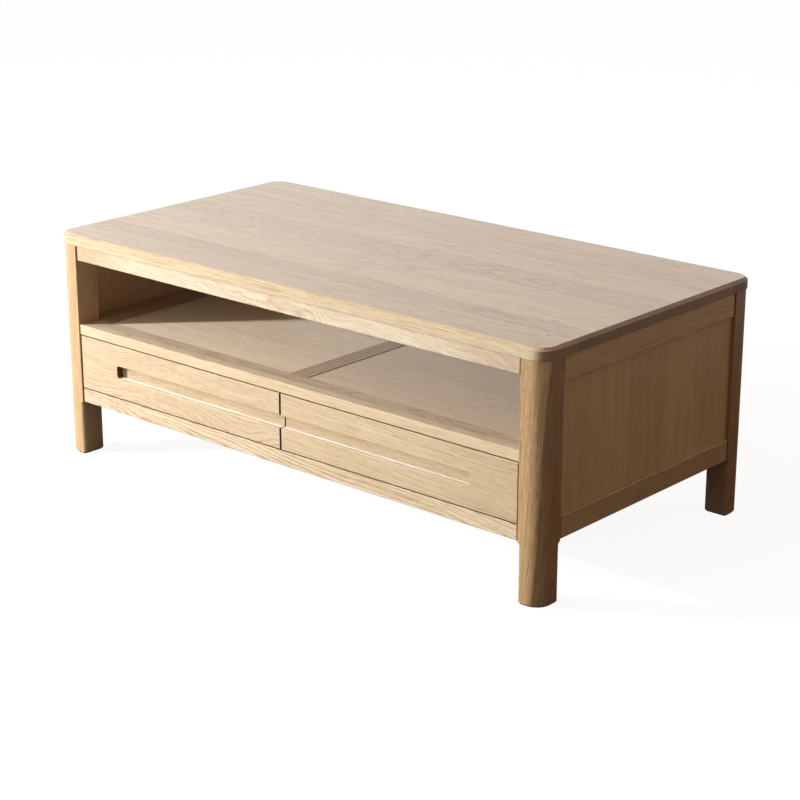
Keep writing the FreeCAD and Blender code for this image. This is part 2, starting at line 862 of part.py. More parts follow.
def slide_member(member, which):
    """One member of the right drawer's inner or outer slide."""
    half = slide_sections()[member]
    section = half + [(u, -height) for u, height in reversed(half)]
    points = []
    for u, height in section:
        x = partition_thickness / 2 + u if which == "inner" else leg_inner_x - u
        points.append(Vector(x, slide_front, slide_mid + height))
    body = polygon(points).extrude(Vector(0, slide_length, 0))
    if member == "case_member":
        side = "partition" if which == "inner" else "right"
        body = body.cut([screw_hole(*place) for place in case_slide_screws(side)])
    if member == "drawer_member":
        body = body.cut([screw_hole(*place) for place in drawer_slide_screws(which)])
    return body


def case_slide_screws(side):
    """Head place, direction and length of the screws through a case member into its seat."""
    seat = partition_thickness / 2 if side == "partition" else leg_inner_x
    inward = 1 if side == "partition" else -1
    head_x = seat + inward * slide_metal
    length = slide_metal + slide_screw_bite
    return [(Vector(head_x, y, slide_mid), Vector(-inward, 0, 0), length) for y in slide_screw_places]


def drawer_slide_screws(which):
    """Head place, direction and length of the screws through a drawer member into its drawer side."""
    inward = 1 if which == "inner" else -1
    seat = box_inner_x if which == "inner" else box_outer_x
    head_x = seat - inward * slide_metal
    length = slide_metal + slide_screw_bite
    return [(Vector(head_x, y, slide_mid), Vector(inward, 0, 0), length) for y in slide_screw_places]


def partition():
    """The upright board between the drawers, tongued into the muntin and the centre rail."""
    ys = (drawer_front_back + partition_setback, rail_back_y - joint_clearance)
    body = block(about(0, partition_thickness), ys, (bottom_rail_top, shelf_underside))
    upper = partition_tongue((shelf_underside, shelf_underside + partition_tongue_height))
    lower = partition_tongue((bottom_rail_top - partition_tongue_height, bottom_rail_top))
    holes = [screw_hole(*place) for place in case_slide_screws("partition")]
    return joined(body, upper, lower).cut(holes + [mirrored_x(hole) for hole in holes])


def bottom_centre_rail():
    """The rail that carries the partition, grooved along its top."""
    housing_zs = (bottom_rail_top - partition_tongue_height - joint_clearance, bottom_rail_top)
    body = inner_rail(centre_rail_width, centre_rail_zs, centre_tenon_width, centre_tenon_zs)
    return body.cut(partition_tongue(housing_zs, joint_clearance))


def build_case():
    """Every piece that stays still."""
    nodes["tabletop"] = top_board()
    cutters = leg_cutters()
    post = front_right_leg()
    nodes["leg_front_right"] = post.cut(cutters)
    nodes["leg_front_left"] = mirrored_x(post).cut(cutters)
    nodes["leg_rear_right"] = mirrored_y(post).cut(cutters)
    nodes["leg_rear_left"] = mirrored_x(mirrored_y(post)).cut(cutters)
    for name in rails:
        nodes[name] = finished_rail(name)
    cross_sizes = (cross_rail_width, cross_rail_zs, cross_tenon_width, cross_tenon_zs)
    nodes["top_cross_rail"] = inner_rail(*cross_sizes)
    nodes["right_side_panel"] = right_side_panel()
    nodes["left_side_panel"] = mirrored_x(right_side_panel())
    nodes["back_panel"] = block(*back_panel_spans())
    nodes["shelf_front_rail"] = shelf_front_rail()
    nodes["shelf_rear_rail"] = shelf_rear_rail()
    nodes["shelf_right_rail"] = shelf_right_rail()
    nodes["shelf_left_rail"] = mirrored_x(shelf_right_rail())
    nodes["shelf_centre_muntin"] = shelf_centre_muntin()
    nodes["shelf_left_panel"] = shelf_panel(-shelf_side_inner, -shelf_muntin_width / 2)
    nodes["shelf_right_panel"] = shelf_panel(shelf_muntin_width / 2, shelf_side_inner)
    nodes["bottom_centre_rail"] = bottom_centre_rail()
    nodes["drawer_partition"] = partition()
    nodes["right_slide_batten"] = right_slide_batten()
    nodes["left_slide_batten"] = mirrored_x(right_slide_batten())
    buttons = [at_button(button(), place) for place in button_places()]
    nodes["tabletop_buttons"] = Part.makeCompound(buttons)
    nodes["tabletop_screws"] = Part.makeCompound([screw(*place) for place in button_screws()])
    case_screws = [screw(*place) for side in ("partition", "right") for place in case_slide_screws(side)]
    nodes["case_slide_screws"] = Part.makeCompound(case_screws + [mirrored_x(one) for one in case_screws])


def build_drawer(drawer, inner, outer, hand):
    """One drawer and its slides, with the names of its two sides and the step that sets its hand."""
    pieces = {
        "front": drawer_front(),
        f"{inner}_side": drawer_side("inner"),
        f"{outer}_side": drawer_side("outer"),
        "back": drawer_back(),
        "bottom": drawer_bottom(),
    }
    for side, which in ((inner, "inner"), (outer, "outer")):
        for member in slide_sections():
            pieces[f"{side}_slide_{member}"] = slide_member(member, which)
    screws = [screw(*place) for which in side_middles for place in drawer_slide_screws(which)]
    pieces["slide_screws"] = Part.makeCompound(screws)
    for name, shape in pieces.items():
        nodes[f"{drawer}_drawer_{name}"] = hand(shape)


build_case()
build_drawer("right", "left", "right", lambda shape: shape)
build_drawer("left", "right", "left", mirrored_x)

os.makedirs("parts", exist_ok=True)
for name, shape in nodes.items():
    shape.exportStep(f"parts/{name}.step")
    print(name, len(shape.Solids), round(shape.Volume), shape.isValid())
print(len(nodes), "nodes")
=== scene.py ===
import collections
import math

import bpy
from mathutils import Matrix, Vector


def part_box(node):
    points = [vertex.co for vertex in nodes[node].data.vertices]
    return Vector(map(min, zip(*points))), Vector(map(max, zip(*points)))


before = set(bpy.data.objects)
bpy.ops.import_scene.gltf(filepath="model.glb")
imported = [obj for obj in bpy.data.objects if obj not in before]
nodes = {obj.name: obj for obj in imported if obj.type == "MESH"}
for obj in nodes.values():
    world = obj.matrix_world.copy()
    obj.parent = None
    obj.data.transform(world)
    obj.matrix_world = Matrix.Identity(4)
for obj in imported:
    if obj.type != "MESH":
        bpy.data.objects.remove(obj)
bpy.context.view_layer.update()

# Looks of the oak coffee table: one wood grown in three dimensions for every board, steel for its fittings.
# Lengths are in metres in the CAD's frame, and in millimetres inside the wood.

scene = bpy.context.scene
scene.view_settings.view_transform = "Standard"

# Places of the colour sockets on a Mix node
MIX_FACTOR = 0
MIX_FIRST = 6
MIX_SECOND = 7
MIX_RESULT = 2


class Graph:
    """Makes shader nodes in a tree, and joins each to what feeds it."""

    def __init__(self, tree):
        self.tree = tree

    def feed(self, socket, value):
        """Links a socket to another socket's output, or sets its number or colour."""
        if isinstance(value, bpy.types.NodeSocket):
            self.tree.links.new(value, socket)
        else:
            socket.default_value = value

    def node(self, kind, inputs=(), **settings):
        """A node with its settings, and values for its inputs by name or place."""
        made = self.tree.nodes.new("ShaderNode" + kind)
        for name, value in settings.items():
            setattr(made, name, value)
        for key, value in dict(inputs).items():
            self.feed(made.inputs[key], value)
        return made

    def math(self, operation, *values):
        return self.node("Math", enumerate(values), operation=operation).outputs[0]

    def vector(self, operation, *values):
        return self.node("VectorMath", enumerate(values), operation=operation).outputs[0]

    def add(self, first, second):
        return self.math("ADD", first, second)

    def less(self, first, second):
        return self.math("SUBTRACT", first, second)

    def product(self, first, *others):
        for other in others:
            first = self.math("MULTIPLY", first, other)
        return first

    def line(self, value, slope, start):
        """A number times a slope, on top of a start."""
        return self.math("MULTIPLY_ADD", value, slope, start)

    def size(self, value):
        """A number without its sign."""
        return self.math("ABSOLUTE", value)

    def length(self, vector):
        return self.node("VectorMath", {0: vector}, operation="LENGTH").outputs["Value"]

    def dot(self, first, second):
        return self.node("VectorMath", {0: first, 1: second}, operation="DOT_PRODUCT").outputs["Value"]

    def scaled(self, vector, factor):
        return self.node("VectorMath", {0: vector, "Scale": factor}, operation="SCALE").outputs[0]

    def split(self, vector):
        return self.node("SeparateXYZ", {0: vector}).outputs

    def combine(self, x, y, z):
        return self.node("CombineXYZ", {0: x, 1: y, 2: z}).outputs[0]

    def line_noise(self, value, detail=1.0):
        """Noise from 0 to 1 along one number."""
        inputs = {"W": value, "Scale": 1.0, "Detail": detail}
        return self.node("TexNoise", inputs, noise_dimensions="1D").outputs[0]

    def noise(self, vector, detail=2.0):
        """Noise from 0 to 1 in space."""
        return self.node("TexNoise", {"Vector": vector, "Scale": 1.0, "Detail": detail}).outputs[0]

    def about(self, value, reach):
        """A number from 0 to 1, turned into one that swings about 0 by a reach each way."""
        return self.product(self.less(value, 0.5), self.product(reach, 2.0))

    def rise(self, value, low, high):
        """A smooth step from 0 at low to 1 at high."""
        inputs = {"Value": value, "From Min": low, "From Max": high}
        return self.node("MapRange", inputs, interpolation_type="SMOOTHSTEP").outputs[0]

    def blend(self, factor, first, second, blend_type="MIX"):
        """Two colours mixed by a factor."""
        inputs = {MIX_FACTOR: factor, MIX_FIRST: first, MIX_SECOND: second}
        return self.node("Mix", inputs, data_type="RGBA", blend_type=blend_type).outputs[MIX_RESULT]

    def times(self, first, second):
        """Two colours multiplied."""
        return self.blend(1.0, first, second, "MULTIPLY")

    def tinted(self, factor, colour, shade):
        """A colour multiplied by a shade, as far as a factor says."""
        return self.blend(factor, colour, self.times(colour, shade))

    def ramp(self, value, stops, interpolation="LINEAR"):
        """A colour that follows a number through stops of (place, colour)."""
        made = self.node("ValToRGB", {0: value})
        elements = made.color_ramp.elements
        made.color_ramp.interpolation = interpolation
        while len(elements) < len(stops):
            elements.new(1.0)
        for element, (place, colour) in zip(elements, stops):
            element.position = place
            element.color = colour
        return made.outputs[0]


def new_material(name):
    """A material, the graph of its nodes and its shader."""
    material = bpy.data.materials.new(name)
    material.use_nodes = True
    return material, Graph(material.node_tree), material.node_tree.nodes["Principled BSDF"]


def grey(value):
    return (value, value, value, 1.0)


def tint(red, green, blue):
    return (red, green, blue, 1.0)


# Colours inside the wood. All but those of pores and rays multiply the board's own colour.
PORE_COLOUR = tint(0.20, 0.115, 0.05)
RAY_COLOUR = tint(0.75, 0.60, 0.42)
DARK = tint(0.64, 0.49, 0.34)
HEART = tint(0.55, 0.485, 0.425)
END_GRAIN = tint(0.38, 0.25, 0.16)
DULL = tint(0.82, 0.78, 0.72)
BRIGHT = tint(1.16, 1.19, 1.23)

# How dark a year's growth is, from its porous early wood to its late wood
YEAR_RING = (
    (0.0, grey(0.35)), (0.06, grey(1.0)), (0.22, grey(0.6)), (0.45, grey(0.15)), (0.92, grey(0.0)),
    (1.0, grey(0.35)),
)

# Millimetres in the frame's unit, and how far a board's seed moves it through each noise
MM = 1000.0
SWAY_SEEDS = (3.1, -5.7)
VIGOUR_SEED = 2.3
SEED_SHIFT = (17.3, 31.7, 7.9)

# Width across the grain, length along it and detail of each kind of streak
WOBBLE = (24, 110, 3.0)
DASH = (0.9, 34, 2.0)
FIBRE = (2.4, 110, 3.0)
VEIN = (3.4, 150, 3.0)
MOTTLE = (16, 230, 4.0)

# Rings: how far they wobble, and how fast and how far their width and their vigour change outwards
WOBBLE_REACH = 3.0
UNEVEN_PACE = 0.13
UNEVEN_REACH = 2.6
VIGOUR_PACE = 0.09
VIGOUR_DETAIL = 2.0
HEART_EDGE = 3.0

# Rays: how close they stand round the log, outwards and along it
RAYS_ROUND = 70.0
RAYS_OUT = 0.05
RAYS_ALONG = 0.16

# From where to where in its noise each feature shows
DASH_RISE = (0.47, 0.68)
VEIN_RISE = (0.54, 0.70)
RAY_RISE = (0.62, 0.72)

# From where to where a face turns into end grain as it looks along the grain
END_TURN = (0.25, 0.75)

# How much one feature adds to another, and what is there without it
PORES_BY_EARLY = (0.6, 0.4)
EARLY_BY_DASH = (0.6, 0.5)
FIGURE_BY_VIGOUR = (1.2, 0.3)
FIBRE_BY_PORES = (0.9, 0.08)

# How strong each feature is in the colour, the gloss and the relief
MIDDLE_TONE = 0.5
MOTTLE_TONE = 0.45
VEIN_TONE = 0.75
RAY_TONE = 0.10
ROUGHNESS = 0.40
PORE_ROUGHNESS = 0.14
FIBRE_ROUGHNESS = 0.05
END_ROUGHNESS = 0.15
PORE_HEIGHT = -1.0
FIBRE_HEIGHT = 0.25

WOOD_INPUTS = (
    ("Place", "Vector"), ("Facing", "Vector"), ("Light", "Color"), ("Seed", "Float"),
    ("Pith Across", "Float"), ("Pith Depth", "Float"), ("Lean", "Float"), ("Slope", "Float"),
    ("Sway", "Float"), ("Sway Length", "Float"), ("Ring", "Float"), ("Figure", "Float"), ("Pores", "Float"),
    ("Heart", "Float"),
)
WOOD_OUTPUTS = (("Color", "Color"), ("Roughness", "Float"), ("Height", "Float"))


def wood_group():
    """Wood as a log has it: year rings about a pith that sways along the board, pores, rays and streaks.

    Place is the board's own frame, across its face, into its face and along its grain. The pith leans
    into the face by Lean and slopes across it by Slope. Within Heart of the pith the wood is darker.
    """
    group = bpy.data.node_groups.new("Wood", "ShaderNodeTree")
    for name, kind in WOOD_INPUTS:
        group.interface.new_socket(name=name, in_out="INPUT", socket_type="NodeSocket" + kind)
    for name, kind in WOOD_OUTPUTS:
        group.interface.new_socket(name=name, in_out="OUTPUT", socket_type="NodeSocket" + kind)
    g = Graph(group)
    given = group.nodes.new("NodeGroupInput").outputs
    seed = given["Seed"]
    across, depth, along = g.split(g.vector("MULTIPLY", given["Place"], (MM, MM, MM)))

    # The pith, and the distance from it
    bend = g.math("DIVIDE", along, given["Sway Length"])
    sways = [g.about(g.line_noise(g.line(seed, pace, bend)), given["Sway"]) for pace in SWAY_SEEDS]
    sway_depth, sway_across = sways
    sloped = g.less(across, g.product(along, given["Slope"]))
    leaned = g.less(depth, g.product(along, given["Lean"]))
    u = g.add(g.less(sloped, given["Pith Across"]), sway_across)
    v = g.add(g.less(leaned, given["Pith Depth"]), sway_depth)
    shift = g.vector("MULTIPLY", g.combine(seed, seed, seed), SEED_SHIFT)
    log = g.combine(u, v, along)

    def streak(wide, long, detail):
        """Noise as wide as a number of millimetres across the grain, and as long along it."""
        scale = (1 / wide, 1 / wide, 1 / long)
        return g.noise(g.vector("MULTIPLY_ADD", log, scale, shift), detail)

    wobble = g.about(streak(*WOBBLE), WOBBLE_REACH)
    radius = g.add(g.length(g.combine(u, v, 0.0)), wobble)
    uneven = g.about(g.line_noise(g.line(radius, UNEVEN_PACE, seed)), UNEVEN_REACH)
    year = g.math("DIVIDE", g.add(radius, uneven), given["Ring"])
    early = g.ramp(g.math("FRACT", year), YEAR_RING)
    vigour = g.line_noise(g.line(radius, VIGOUR_PACE, g.product(seed, VIGOUR_SEED)), VIGOUR_DETAIL)

    # Pores, fibres, veins, mottle and rays
    dash = g.rise(streak(*DASH), *DASH_RISE)
    pore = g.product(dash, g.line(early, *PORES_BY_EARLY))
    fibre = streak(*FIBRE)
    vein = g.rise(streak(*VEIN), *VEIN_RISE)
    mottle = streak(*MOTTLE)
    turn = g.product(g.math("ARCTAN2", u, v), RAYS_ROUND)
    ray_place = g.combine(turn, g.product(radius, RAYS_OUT), g.product(along, RAYS_ALONG))
    ray = g.rise(g.noise(g.vector("ADD", ray_place, shift)), *RAY_RISE)

    # Colour
    porous = g.product(early, g.line(dash, *EARLY_BY_DASH))
    strength = g.product(g.line(vigour, *FIGURE_BY_VIGOUR), given["Figure"])
    veined = g.product(vein, g.product(given["Pores"], VEIN_TONE))
    fibrous = g.line(given["Pores"], *FIBRE_BY_PORES)
    tone = g.add(g.about(mottle, MOTTLE_TONE), g.about(fibre, fibrous))
    heart = g.rise(g.less(radius, given["Heart"]), HEART_EDGE, -HEART_EDGE)
    colour = g.tinted(heart, given["Light"], HEART)
    colour = g.tinted(g.product(porous, strength), colour, DARK)
    colour = g.tinted(veined, colour, DARK)
    colour = g.blend(g.add(MIDDLE_TONE, tone), g.times(colour, DULL), g.times(colour, BRIGHT))
    colour = g.blend(g.product(ray, RAY_TONE), colour, RAY_COLOUR)
    colour = g.blend(g.product(pore, given["Pores"]), colour, PORE_COLOUR)
    end = g.rise(g.size(g.split(given["Facing"])[2]), *END_TURN)
    colour = g.tinted(end, colour, END_GRAIN)

    # Gloss and relief
    rough = g.add(g.line(pore, PORE_ROUGHNESS, ROUGHNESS), g.about(fibre, FIBRE_ROUGHNESS))
    rough = g.line(end, END_ROUGHNESS, rough)
    height = g.add(g.product(pore, PORE_HEIGHT), g.product(fibre, FIBRE_HEIGHT))
    out = group.nodes.new("NodeGroupOutput").inputs
    g.feed(out["Color"], colour)
    g.feed(out["Roughness"], rough)
    g.feed(out["Height"], height)
    return group


wood = wood_group()

# Colour of the wood of each kind of board, between its rings
HONEY = tint(0.61, 0.455, 0.275)
PALE = tint(0.66, 0.52, 0.345)
CREAM = tint(0.668, 0.568, 0.423)
STRAW = tint(0.67, 0.553, 0.392)
WHEAT = tint(0.615, 0.484, 0.324)
GREIGE = tint(0.525, 0.402, 0.258)
# The shelf panels: the left one lighter and the right one darker by painted light, as the light falls off
# away from the key lamp
PAINTED_LIT_SHELF = tint(0.76, 0.59, 0.368)
PAINTED_SHADED_SHELF = tint(0.60, 0.44, 0.255)
WARM = tint(0.52, 0.35, 0.192)
AMBER = tint(0.563, 0.390, 0.214)
COPPER = tint(0.495, 0.322, 0.17)
CHESTNUT = tint(0.51, 0.342, 0.18)
RUSSET = tint(0.42, 0.28, 0.147)
TAWNY = tint(0.435, 0.29, 0.172)
DRAWER = tint(0.62, 0.50, 0.34)

# Oiled finish: its gloss, its haze on flats that face up, and the depth of the grain under it
SATIN = 0.5
BLOOM = 0.31
SHELF_BLOOM = 0.29
RAIL_BLOOM = 0.15
BLOOM_ROUGHNESS = 0.5
GRAIN_STRENGTH = 0.35
GRAIN_DEPTH = 0.0004

# Arrises, rubbed paler in patches
EDGE_RADIUS = 0.0005
EDGE_SAMPLES = 4
EDGE_COLOUR = tint(0.70, 0.57, 0.40)
EDGE_GRAIN = (60.0, 60.0, 60.0)
EDGE_RUBBED = 0.35
ARRIS_RISE = (0.995, 0.90)
PATCH_RISE = (0.35, 0.7)

# Painted shade on edges towards a gap, painted light on long edges, and how faint a calm figure is
GAP_PAINTED_SHADE = tint(0.36, 0.30, 0.24)
RIM_TURN = (0.6, 0.3)
SIDE_TURN = (0.3, 0.7)
SIDE_FADE = (0.8, 0.3)
CALM = 0.4

# Knots, in shares of their size
KNOT_GRAIN = (3.0, 3.0, 3.0)
KNOT_ROUGH = 0.5
KNOT_RISE = (1.0, 0.3)

# Finger slot, from the middle of its lower lip's edge. Its lip is rounded and polished, with a painted
# highlight further in, and painted shade darkens the slot's back and ends.
SLOT_LIP = (0.0, -0.304, 0.183)
SLOT_HALF = 0.442
SLOT_TALL = 0.025
SLOT_FLOOR = 0.012
SLOT_BLUR = 0.001
SLOT_BACK = (0.02, 0.018)
SLOT_INSIDE = 0.5 * SLOT_TALL
SLOT_EDGE = 0.54 * SLOT_TALL
SLOT_OUTSIDE = 0.6 * SLOT_TALL
SLOT_BACK_PAINTED_SHADE = tint(0.84, 0.82, 0.80)
SLOT_END_PAINTED_SHADE = tint(0.40, 0.34, 0.30)
SLOT_END_TURN = (0.3, 0.8)
LIP_REACH = 0.0050
LIP_FADE = 1.4 * LIP_REACH
LIP_TURN = 0.30
LIP_TURN_MOST = 0.65
LIP_ROUGHNESS = 0.26
LIP_HIGHLIGHT_SPAN = (0.003, 0.006)
LIP_PAINTED_HIGHLIGHT = tint(1.40, 1.75, 2.30)

# Staves: the most of a pith's depth and of a lean that a colour's channel holds, how each stave draws its lot
# and what the lot changes, and how much faster green and blue darken than red
PITH_REACH = 200.0
LEAN_REACH = 0.5
LOT_STEP = 37.7
LOT_SEEDS = 40.0
END_UNEVEN = 0.5
SHADE_POWERS = (1.35, 1.8)

AXES = "xyz"
Stave = collections.namedtuple("Stave", "start shade pith lean figure", defaults=(1.0, 70.0, 0.02, 0.45))


def stave_stops(staves, low, span):
    """Where each stave begins as a share of the board, with two colours that hold what it is like."""
    begins = [(stave.start - low) / span for stave in staves]
    looks = []
    logs = []
    for begin, end, stave in zip(begins, begins[1:] + [1.0], staves):
        looks.append((begin, tint(stave.shade, (begin + end) / 2, (begin * LOT_STEP) % 1.0)))
        logs.append((begin, tint(stave.pith / PITH_REACH, LEAN_REACH + stave.lean, stave.figure)))
    return looks, logs


def glue_up(g, log, staves, width, low, span):
    """Gives each stave a log of its own. Returns the place across the stave, and its lot from 0 to 1."""
    looks, logs = stave_stops(staves, low, span)
    share = g.add(g.math("DIVIDE", width, span), 0.5)
    shade, middle, lot = g.split(g.ramp(share, looks, "CONSTANT"))
    pith, lean, log["Figure"] = g.split(g.ramp(share, logs, "CONSTANT"))
    shades = [g.math("POWER", shade, power) for power in SHADE_POWERS]
    log["Light"] = g.times(log["Light"], g.combine(shade, *shades))
    log["Seed"] = g.line(lot, LOT_SEEDS, log["Seed"])
    log["Pith Depth"] = g.product(pith, math.copysign(PITH_REACH, log["Pith Depth"]))
    log["Lean"] = g.less(lean, LEAN_REACH)
    return g.product(g.less(share, middle), span), lot


def knot(g, spot, middle, size):
    """How far a spot is inside a knot, from 0 at its rough edge to 1 near its middle."""
    stretched = g.vector("DIVIDE", g.vector("SUBTRACT", spot, middle), size)
    rough_edge = g.about(g.noise(g.vector("MULTIPLY", stretched, KNOT_GRAIN)), KNOT_ROUGH)
    return g.rise(g.add(g.length(stretched), rough_edge), *KNOT_RISE)


def slot_lip(g, away):
    """How far a place is on the slot's lower lip, how far in from its edge, and the lip's rounded normal."""
    on_lip = g.rise(g.size(away[2]), LIP_FADE, LIP_REACH)
    on_lip = g.product(on_lip, g.rise(away[1], SLOT_FLOOR + SLOT_BLUR, SLOT_FLOOR))
    on_lip = g.product(on_lip, g.rise(g.size(away[0]), SLOT_HALF, SLOT_HALF - LIP_REACH))
    inward = g.add(away[1], away[2])
    turned = g.line(inward, (LIP_TURN_MOST - LIP_TURN) / LIP_REACH, LIP_TURN)
    turned = g.math("MINIMUM", g.math("MAXIMUM", turned, 0.0), LIP_TURN_MOST)
    normal = g.vector("NORMALIZE", g.combine(0.0, g.less(turned, 1.0), turned))
    return on_lip, inward, normal


def board(name, grain, face, colour, seed, pith=(0.0, 70.0), lean=0.03, slope=0.0, sway=6.0,
          sway_length=330.0, ring=3.2, figure=0.65, pores=0.36, heart=0.0, staves=None, marks=(), bloom=0.0,
          edge=EDGE_RADIUS, polish=0.0, slot=None, gap_shade=False, lit_sides=None, calm=None, tails=()):
    """Gives a node its wood.

    The grain runs along one axis, and face is the axis that its show face looks along. A seed of its own
    makes a board differ from the others. Pith is how far the middle of the log is from the board's middle,
    across the face and behind it, in millimetres. Staves are boards glued edge to edge, each with its own
    log. Marks are knots, with place and size. Bloom is the haze of the oil on a flat that faces up. Polish
    is how much smoother the edges are. Slot is where the lower lip of a finger slot is, which fingers have
    rounded and polished; a highlight is painted on the lip, and shade is painted in the slot's floor and
    ends. Painted shade can darken the edges that face a gap. A tint on the long edges is painted light, and
    calm is where along the board its figure grows from faint to full. The stretches at the end are where the
    colour turns darker towards an end, with where each starts and is full; at a board's right end this is
    painted shade, the light falling off away from the key lamp.
    """
    low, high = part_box(name)
    material, g, shader = new_material(name)
    shader.inputs["Specular IOR Level"].default_value = SATIN
    shader.inputs["Sheen Weight"].default_value = bloom
    shader.inputs["Sheen Roughness"].default_value = BLOOM_ROUGHNESS
    coordinates = g.node("TexCoord")
    spot = coordinates.outputs["Object"]
    along, depth = AXES.index(grain), AXES.index(face)
    across = AXES.index(*set(AXES) - {grain, face})
    place = g.split(g.vector("SUBTRACT", spot, (low + high) / 2))
    facing = g.split(coordinates.outputs["Normal"])

    # The log, or a log for each stave
    log = {
        "Light": colour, "Seed": seed, "Pith Across": pith[0], "Pith Depth": pith[1], "Lean": lean,
        "Slope": slope, "Sway": sway, "Sway Length": sway_length, "Ring": ring, "Figure": figure,
        "Pores": pores, "Heart": heart,
    }
    width = place[across]
    if staves:
        width, lot = glue_up(g, log, staves, width, low[across], high[across] - low[across])
    if calm:
        grown = g.line(g.rise(place[along], *calm), 1.0 - CALM, CALM)
        log["Figure"] = g.product(log["Figure"], grown)
    log["Place"] = g.combine(width, place[depth], place[along])
    log["Facing"] = g.combine(facing[across], facing[depth], facing[along])
    oak = g.node("Group", log, node_tree=wood)
    colour = oak.outputs["Color"]

    # What differs along the board and on its edges, with painted light on the long edges and painted shade at
    # some ends
    if staves:
        end = g.rise(g.size(facing[along]), *END_TURN)
        uneven = g.line(lot, END_UNEVEN, 1.0 - END_UNEVEN / 2)
        colour = g.tinted(end, colour, g.combine(uneven, uneven, uneven))
    # Painted light: the long edges lighter by a tint
    if lit_sides:
        long_edge = g.rise(g.size(facing[across]), *SIDE_TURN)
        long_edge = g.product(long_edge, g.rise(g.size(facing[along]), *SIDE_FADE))
        colour = g.tinted(long_edge, colour, lit_sides)
    # Stretches darker towards an end; at a right end this is painted shade, the light falling off away from
    # the key lamp
    for shade, start, stop in tails:
        colour = g.tinted(g.rise(g.split(spot)[along], start, stop), colour, shade)
    for middle, size in marks:
        colour = g.blend(knot(g, spot, middle, size), colour, PORE_COLOUR)

    # Arrises rubbed a little paler and smoother than the faces
    soft = g.node("Bevel", {"Radius": edge}, samples=EDGE_SAMPLES).outputs[0]
    arris = g.rise(g.dot(soft, g.node("NewGeometry").outputs["Normal"]), *ARRIS_RISE)
    patches = g.rise(g.noise(g.vector("MULTIPLY", spot, EDGE_GRAIN)), *PATCH_RISE)
    colour = g.blend(g.product(arris, patches, EDGE_RUBBED), colour, EDGE_COLOUR)
    rough = g.less(oak.outputs["Roughness"], g.product(arris, polish))

    # Painted shade on edges towards a gap, and the finger slot with its painted highlight and painted shade
    if slot:
        away = g.split(g.vector("SUBTRACT", spot, slot))
        off_middle = g.size(g.less(away[2], SLOT_TALL / 2))
    # Painted shade on the edges that face a gap, where the gap's shade falls
    if gap_shade:
        at_gap = g.rise(g.size(facing[depth]), *RIM_TURN)
        if slot:
            at_gap = g.product(at_gap, g.rise(off_middle, SLOT_EDGE, SLOT_OUTSIDE))
        colour = g.tinted(at_gap, colour, GAP_PAINTED_SHADE)
    if slot:
        on_lip, inward, normal = slot_lip(g, away)
        soft = g.vector("ADD", soft, g.scaled(g.vector("SUBTRACT", normal, soft), on_lip))
        rough = g.add(rough, g.product(on_lip, g.less(LIP_ROUGHNESS, rough)))
        # Painted highlight: the lip paler further in from its edge
        colour = g.tinted(g.product(on_lip, g.rise(inward, *LIP_HIGHLIGHT_SPAN)), colour, LIP_PAINTED_HIGHLIGHT)
        # Painted shade on the slot's floor towards its back
        on_floor = g.rise(away[1], SLOT_FLOOR, SLOT_FLOOR + SLOT_BLUR)
        on_floor = g.product(on_floor, g.rise(away[1], *SLOT_BACK))
        colour = g.tinted(on_floor, colour, SLOT_BACK_PAINTED_SHADE)
        # Painted shade on the slot's ends
        at_end = g.rise(g.size(facing[along]), *SLOT_END_TURN)
        at_end = g.product(at_end, g.rise(off_middle, SLOT_EDGE, SLOT_INSIDE))
        colour = g.tinted(at_end, colour, SLOT_END_PAINTED_SHADE)

    g.feed(shader.inputs["Base Color"], colour)
    g.feed(shader.inputs["Roughness"], rough)
    relief = {"Height": oak.outputs["Height"], "Strength": GRAIN_STRENGTH, "Distance": GRAIN_DEPTH}
    relief["Normal"] = soft
    g.feed(shader.inputs["Normal"], g.node("Bump", relief).outputs[0])
    nodes[name].material_slots[0].material = material


# Table top
TOP_STAVES = (
    Stave(-0.308, 0.97, 150, 0.008, 0.5),
    Stave(-0.222, 0.86, 140, 0.006, 0.7),
    Stave(-0.172, 1.04, 150, 0.010, 0.6),
    Stave(-0.090, 0.99, 120, 0.012, 0.5),
    Stave(-0.022, 0.94, 62, 0.07, 1.2),
    Stave(0.058, 1.02, 130, 0.010, 0.6),
    Stave(0.148, 0.96, 100, 0.012, 0.8),
    Stave(0.233, 0.99, 150, 0.008, 0.5),
)
TOP_EDGE = 0.002
# Long edges of the top lighter: painted light
TOP_PAINTED_LIGHT = tint(1.19, 1.26, 1.29)
TOP_CALM = (-0.15, 0.20)
TOP_POLISH = 0.12
TOP_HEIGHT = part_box("tabletop")[1][2]
TOP_MARKS = (
    ((0.508, -0.162, TOP_HEIGHT), (0.012, 0.004, 0.010)),
    ((0.550, -0.235, TOP_HEIGHT), (0.009, 0.005, 0.010)),
    ((0.290, -0.277, TOP_HEIGHT), (0.010, 0.003, 0.010)),
)
board("tabletop", "x", "z", GREIGE, seed=3.0, pith=(0, -60), sway=4, ring=4.0, pores=0.7, staves=TOP_STAVES,
      marks=TOP_MARKS, bloom=BLOOM, edge=TOP_EDGE, polish=TOP_POLISH, lit_sides=TOP_PAINTED_LIGHT, calm=TOP_CALM)

# Legs
for number, (name, heart) in enumerate((("leg_front_right", 42), ("leg_rear_right", 90))):
    board(name, "z", "y", CHESTNUT, seed=11.0 + number, pith=(46, 10), lean=0.04, slope=0.06, sway=8,
          ring=4.2, figure=1.2, pores=0.75, heart=heart)
for number, name in enumerate(("leg_front_left", "leg_rear_left")):
    board(name, "z", "y", AMBER, seed=13.0 + number, pith=(40, 10), lean=0.04, slope=0.05, sway=6, ring=4.2)

